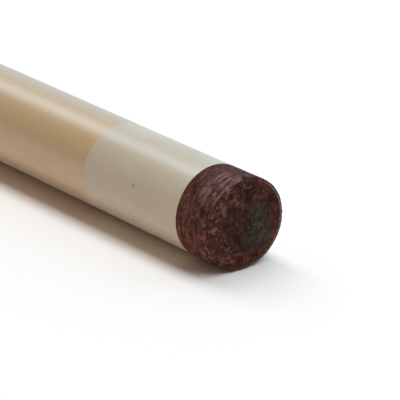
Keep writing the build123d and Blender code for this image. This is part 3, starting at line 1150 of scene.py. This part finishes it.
def make_wrap_linen():
    """Off-white linen thread flecked with dark green, with painted shade between its turns."""
    finish, shader, where = new_finish("wrap linen", Roughness=0.85, Specular_IOR_Level=0.2,
                                       Sheen_Weight=0.25)
    tree = finish.node_tree
    x, y, z = linked(tree, "ShaderNodeSeparateXYZ", Vector=where).outputs
    radius = math_node("SQRT", plus(power(y, 2), power(z, 2)))
    surface = times_plus(x, wrap_slope, wrap_rear_radius - wrap_slope * wrap_start)
    height = between(minus(radius, surface), -thread_rise, 0.0)
    angle = over(math_node("ARCTAN2", z, y), math.tau)
    along = plus(math_node("FLOOR", minus(over(x, thread_pitch), angle)), angle)
    thread = linked(tree, "ShaderNodeCombineXYZ", X=along).outputs[0]
    fleck = noise_node(thread, flecks_per_turn, 2, 0.5)
    fibre = noise_node(scaled(where, (5000, 900, 900)), 1.0, 4, 0.7)
    colour = mixed(fibre, (0.42, 0.38, 0.31), (0.66, 0.62, 0.54))
    colour = mixed(between(fleck, 0.56, 0.62), colour, (0.020, 0.040, 0.028))
    # Painted shade: the hollows between the turns are darkened in the colour
    fill(shader, Base_Color=stained(colour, minus(1, height), 0.6, (0.05, 0.045, 0.035)))
    raise_surface(shader, fibre, 0.00008, 0.7)
    return finish


linen_wrap = wound(
    "linen_wrap_wound", make_wrap_linen(), start=wrap_start, length=wrap_length,
    start_radius=wrap_rear_radius - thread_rise, end_radius=wrap_front_radius - thread_rise,
    start_bore=wrap_rear_bore, end_bore=wrap_front_bore, pitch=thread_pitch, rise=thread_rise,
    power=2.0, foot=1.0, gain=1.0, phase=0.0, fade=thread_pitch,
    rows=rows_per_thread * round(wrap_length / thread_pitch) + 3, around=48)
settle(linen_wrap, "butt", "wrap_linen", "linen_wrap")

# %% The screw of the joint
screw_pitch = 2.54 * MM
crest_radius = 9.525 * MM / 2
core_radius = 7.94 * MM / 2
shank_radius = 9.2 * MM / 2
crest_share = 0.5 / 2.54       # of half a pitch: the flat on the ridge
foot_share = 1.36 / 2.54       # and the ridge where it meets the core
rows_per_ridge = 30
screw_around = 72
screw_rear, screw_end = span("joint_pin")[:2]


def thread_phase():
    """Where round its pitch the CAD screw's crest lies, and how many corners say so."""
    total = Vector((0, 0))
    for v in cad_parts["joint_pin"].data.vertices:
        radius = math.hypot(v.co.y, v.co.z)
        if v.co.x > joint_face + 2 * screw_pitch and radius > crest_radius - 0.03 * MM:
            turn = math.tau * v.co.x / screw_pitch - math.atan2(v.co.z, v.co.y)
            total += Vector((math.cos(turn), math.sin(turn)))
    return (math.atan2(total.y, total.x) / math.tau - 0.5) % 1.0, total.length


phase, votes = thread_phase()
print("crest of the screw at", round(phase, 3), "of a turn, from", round(votes), "corners")
screw_length = screw_end - joint_face
screw = wound("joint_pin_threaded", screw_steel, start=joint_face, length=screw_length,
              start_radius=core_radius, end_radius=core_radius, start_bore=0.0, end_bore=0.0,
              pitch=screw_pitch, rise=crest_radius - core_radius, power=1.0, foot=foot_share,
              gain=1 / (foot_share - crest_share), phase=phase, fade=0.8 * MM,
              rows=rows_per_ridge * round(screw_length / screw_pitch) + 3, around=screw_around)
shank_outline = [(screw_rear, 0), (screw_rear, shank_radius),
                 (joint_face, shank_radius), (joint_face, 0)]
shank = turned("shank", [eased(shank_outline, BLUNT_EDGE)], screw_around)
with edited(screw.data) as both:
    both.from_mesh(shank.data)
bpy.data.objects.remove(shank)
settle(screw, "butt", "pin_steel", "joint_pin")

# %% [markdown]
# ### Pieces that keep their CAD mesh
# The brass insert and the weight bolt sit in their bores and show little more than an end,
# and the insert's thread is already cut in the CAD model. So they only take a finish.

# %% Brass and bolt
for node, finish in {"joint_insert": yellow_brass, "weight_bolt": screw_steel}.items():
    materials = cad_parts[node].data.materials
    materials.clear()
    materials.append(finish)
    print(node, "keeps its CAD mesh, in", finish.name)

# %% [markdown]
# ## The table
# The cue lies down, so it touches the table where it is thickest near the back and at its
# slim tip in front. Its underside slopes by a third of a degree, and the floor follows it.

# %% Floor
slope = math.atan((cap_radius - tip_radius) / (tip_start - cap_start))
floor_size = 30.0
floor_gap = 0.05 * MM
floor_corners = []
for along, across in ((-1, -1), (1, -1), (1, 1), (-1, 1)):
    x = tip_start + along * floor_size
    z = -tip_radius - (tip_start - x) * math.tan(slope) - floor_gap
    floor_corners.append((x, across * floor_size, z))
floor_mesh = bpy.data.meshes.new("table")
floor_mesh.from_pydata(floor_corners, [], [(0, 1, 2, 3)])
table = shown("table", floor_mesh)
cue_middle = Vector((cad_high.x / 2, 0, 0))


def make_table_paper():
    """Seamless white paper, lit more and more from beneath far away from the cue."""
    finish, shader, where = new_finish("white paper", Roughness=0.9, Specular_IOR_Level=0.2,
                                       Emission_Color=(1.0, 1.0, 1.0))
    fibre = noise_node(where, 900.0, 4, 0.6)
    far = between(distance_from(where, cue_middle), 1.6, 7.0)
    fill(shader, Base_Color=mixed(fibre, (0.97, 0.86, 0.79), (0.99, 0.88, 0.81)),
         Emission_Strength=times(far, 0.7))
    return finish


floor_mesh.materials.append(make_table_paper())
print("the floor slopes by", round(math.degrees(slope), 3), "degrees")

# %% [markdown]
# ## Light
# One large soft light hangs nearly overhead, a little beyond the cue, so its reflection is
# the long soft band on the upper side. The surround is bright and cool behind the cue, dim
# and warm in front of it, which tints the edges. The camera itself sees it plain white.

# %% Lights
light_height = 6.0
lamp = bpy.data.lights.new("overhead_light", "AREA")
lamp.shape = "RECTANGLE"
lamp.size, lamp.size_y = 16.0, 0.42 * light_height
lamp.energy = 535
lamp.color = (0.79, 0.93, 1.04)
overhead = Vector((0, 0.14, 1.0)) * light_height
overhead_light = shown("overhead_light", lamp)
overhead_light.location = cue_middle + overhead
overhead_light.rotation_euler = (-overhead).to_track_quat("-Z", "Y").to_euler()

world = bpy.data.worlds.new("white surround")
bpy.context.scene.world = world
world.use_nodes = True
sky = world.node_tree
outward = sky.nodes.new("ShaderNodeTexCoord").outputs["Generated"]
facing = linked(sky, "ShaderNodeSeparateXYZ", Vector=outward)
behind = between(facing.outputs["Y"], -0.3, 0.6)
seen = sky.nodes.new("ShaderNodeLightPath").outputs["Is Camera Ray"]
tint = mixed(behind, (1.0, 0.85, 0.69), (0.66, 0.86, 1.0))
fill(sky.nodes["Background"], Color=mixed(seen, tint, (1.0, 1.0, 1.0)),
     Strength=math_node("MAXIMUM", times_plus(behind, 0.74, 0.24), seen))
bpy.context.scene.view_settings.view_transform = "Standard"
print("lit by", lamp.name, "and the", world.name)

# %% [markdown]
# ## Camera
# A long lens looks down past the tip along the cue, from the side, so that the worn face,
# the wall and the ferrule are all seen at once and the cue hardly narrows with distance.

# %% Camera
camera_from_tip = Vector((0.2558, -0.2130, 0.1375))
azimuth, elevation = math.radians(50.52), math.radians(22.23)
back = Vector((math.sin(azimuth) * math.cos(elevation),
               -math.cos(azimuth) * math.cos(elevation),
               math.sin(elevation)))
lens = bpy.data.cameras.new("camera")
lens.lens = 242.4
lens.sensor_width = 36
lens.clip_start, lens.clip_end = 0.01, 200
camera = shown("camera", lens)
camera.location = Vector((tip_start, 0, 0)) + camera_from_tip
camera.rotation_mode = "QUATERNION"
camera.rotation_quaternion = (-back).to_track_quat("-Z", "Y")
bpy.context.scene.camera = camera
print("camera at", tuple(round(value, 4) for value in camera.location))
